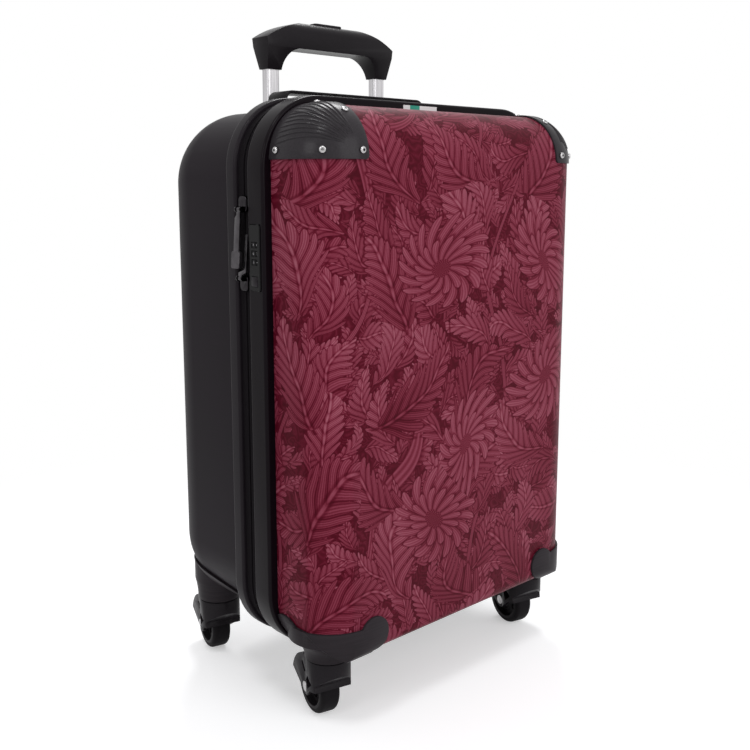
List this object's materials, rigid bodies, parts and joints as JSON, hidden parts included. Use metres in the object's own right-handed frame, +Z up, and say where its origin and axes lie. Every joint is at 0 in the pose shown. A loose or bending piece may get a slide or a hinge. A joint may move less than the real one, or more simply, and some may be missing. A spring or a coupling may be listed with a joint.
{
  "type": "suitcase",
  "caption": "Hard-shell cabin trolley case with a printed front shell, zip, combination lock, swivel casters, carry strap and telescopic handle.",
  "frame": {"origin": "on the floor that the wheels stand on, under the middle of the shells", "axes": "+X to the right seen from the printed front, +Y from the printed front towards the handle side, +Z up; the zip pulls and the lock are on the -X side"},
  "size_m": [0.3568, 0.2561, 0.613],
  "materials": {
    "printed_shell": "glossy film over hard plastic",
    "plain_shell": "fine ribbed satin",
    "rim": "satin",
    "zip": "woven tape with nylon coil",
    "zip_metal": "dark satin lacquer",
    "lock_case": "satin",
    "lock_dial": "glossy",
    "steel": "bright",
    "protector": "satin with moulded ribs",
    "caster": "satin",
    "wheel_core": "satin",
    "tread": "soft",
    "tube": "brushed",
    "handle_plastic": "satin",
    "lining": "thin woven polyester",
    "hinge": "woven tape",
    "strap": "soft satin",
    "label": "printed film"
  },
  "bodies": {
    "base": {"back_shell": "plain_shell", "back_rim": "rim", "base_lining": "lining", "base_zip": "zip", "hinge_strip": "hinge", "guide_tube_left": "tube", "guide_tube_right": "tube", "handle_bezel": "handle_plastic", "handle_foot": "handle_plastic", "caster_housing_back_left": "caster", "caster_housing_back_right": "caster", "strap_caps": "strap", "base_housing_screws": "steel"},
    "lid": {"front_shell": "printed_shell", "front_frame": "rim", "lid_lining": "lining", "lid_zip": "zip", "corner_protector_left": "protector", "corner_protector_right": "protector", "protector_rivets": "steel", "lock_body": "lock_case", "lock_dial_axle": "steel", "caster_housing_front_left": "caster", "caster_housing_front_right": "caster", "top_label": "label", "lid_housing_screws": "steel"},
    "upper_zip_slider": {"upper_slider": "zip_metal"},
    "upper_zip_pull": {"upper_pull": "zip_metal"},
    "lower_zip_slider": {"lower_slider": "zip_metal"},
    "lower_zip_pull": {"lower_pull": "zip_metal"},
    "dial_1": {"lock_dial_1": "lock_dial"},
    "dial_2": {"lock_dial_2": "lock_dial"},
    "dial_3": {"lock_dial_3": "lock_dial"},
    "latch_button": {"lock_button": "lock_case"},
    "mid_tubes": {"mid_tube_left": "tube", "mid_tube_right": "tube"},
    "handle": {"inner_tube_left": "tube", "inner_tube_right": "tube", "handle_grip": "handle_plastic"},
    "release_button": {"grip_button": "handle_plastic", "release_yoke": "steel"},
    "top_strap": {"carry_strap": "strap"},
    "fork_front_left": {"caster_fork_front_left": "caster", "caster_axle_front_left": "steel"},
    "wheel_front_left": {"wheel_hub_front_left": "wheel_core", "wheel_tread_front_left": "tread"},
    "fork_front_right": {"caster_fork_front_right": "caster", "caster_axle_front_right": "steel"},
    "wheel_front_right": {"wheel_hub_front_right": "wheel_core", "wheel_tread_front_right": "tread"},
    "fork_back_left": {"caster_fork_back_left": "caster", "caster_axle_back_left": "steel"},
    "wheel_back_left": {"wheel_hub_back_left": "wheel_core", "wheel_tread_back_left": "tread"},
    "fork_back_right": {"caster_fork_back_right": "caster", "caster_axle_back_right": "steel"},
    "wheel_back_right": {"wheel_hub_back_right": "wheel_core", "wheel_tread_back_right": "tread"}
  },
  "joints": [
    {"name": "lid_hinge", "type": "hinge", "parent": "base", "child": "lid", "pos_m": [0.1756, -0.0294, 0.2953], "axis": [0, 0, 1], "range_deg": [0, 180]},
    {"name": "mid_slide", "type": "slide", "parent": "base", "child": "mid_tubes", "axis": [0, 0, 1], "range_m": [0, 0.205]},
    {"name": "handle_slide", "type": "slide", "parent": "mid_tubes", "child": "handle", "axis": [0, 0, 1], "range_m": [-0.062, 0.2]},
    {"name": "release_press", "type": "slide", "parent": "handle", "child": "release_button", "axis": [0, 0, -1], "range_m": [0, 0.004], "stiffness_N_per_m": 400, "springref_m": -0.002},
    {"name": "strap_lift", "type": "slide", "parent": "base", "child": "top_strap", "axis": [0, 0, 1], "range_m": [0, 0.005]},
    {"name": "upper_zip", "type": "slide", "parent": "base", "child": "upper_zip_slider", "axis": [0, 0, 1], "range_m": [0, 0.02]},
    {"name": "lower_zip", "type": "slide", "parent": "base", "child": "lower_zip_slider", "axis": [0, 0, -1], "range_m": [0, 0.25]},
    {"name": "upper_pull_swing", "type": "hinge", "parent": "upper_zip_slider", "child": "upper_zip_pull", "pos_m": [-0.1769, -0.0294, 0.4403], "axis": [0, 1, 0], "range_deg": [0, 150]},
    {"name": "lower_pull_swing", "type": "hinge", "parent": "lower_zip_slider", "child": "lower_zip_pull", "pos_m": [-0.1769, -0.0294, 0.3842], "axis": [0, -1, 0], "range_deg": [0, 150]},
    {"name": "latch_press", "type": "slide", "parent": "lid", "child": "latch_button", "axis": [1, 0, 0], "range_m": [0, 0.0015], "stiffness_N_per_m": 400, "springref_m": -0.001},
    {"name": "dial_1_turn", "type": "hinge", "parent": "lid", "child": "dial_1", "pos_m": [-0.1712, -0.0483, 0.3983], "axis": [0, 0, 1], "continuous": true},
    {"name": "dial_2_turn", "type": "hinge", "parent": "lid", "child": "dial_2", "pos_m": [-0.1712, -0.0483, 0.4053], "axis": [0, 0, 1], "continuous": true},
    {"name": "dial_3_turn", "type": "hinge", "parent": "lid", "child": "dial_3", "pos_m": [-0.1712, -0.0483, 0.4123], "axis": [0, 0, 1], "continuous": true},
    {"name": "swivel_front_left", "type": "hinge", "parent": "lid", "child": "fork_front_left", "pos_m": [-0.1318, -0.0834, 0.06], "axis": [0, 0, 1], "continuous": true},
    {"name": "roll_front_left", "type": "hinge", "parent": "fork_front_left", "child": "wheel_front_left", "pos_m": [-0.12732, -0.06545, 0.025], "axis": [-0.9703, 0.2419, 0], "continuous": true},
    {"name": "swivel_front_right", "type": "hinge", "parent": "lid", "child": "fork_front_right", "pos_m": [0.1318, -0.0834, 0.06], "axis": [0, 0, 1], "continuous": true},
    {"name": "roll_front_right", "type": "hinge", "parent": "fork_front_right", "child": "wheel_front_right", "pos_m": [0.13628, -0.06545, 0.025], "axis": [-0.9703, 0.2419, 0], "continuous": true},
    {"name": "swivel_back_left", "type": "hinge", "parent": "base", "child": "fork_back_left", "pos_m": [-0.1318, 0.0834, 0.06], "axis": [0, 0, 1], "continuous": true},
    {"name": "roll_back_left", "type": "hinge", "parent": "fork_back_left", "child": "wheel_back_left", "pos_m": [-0.12732, 0.10135, 0.025], "axis": [-0.9703, 0.2419, 0], "continuous": true},
    {"name": "swivel_back_right", "type": "hinge", "parent": "base", "child": "fork_back_right", "pos_m": [0.1318, 0.0834, 0.06], "axis": [0, 0, 1], "continuous": true},
    {"name": "roll_back_right", "type": "hinge", "parent": "fork_back_right", "child": "wheel_back_right", "pos_m": [0.13628, 0.10135, 0.025], "axis": [-0.9703, 0.2419, 0], "continuous": true}
  ]
}
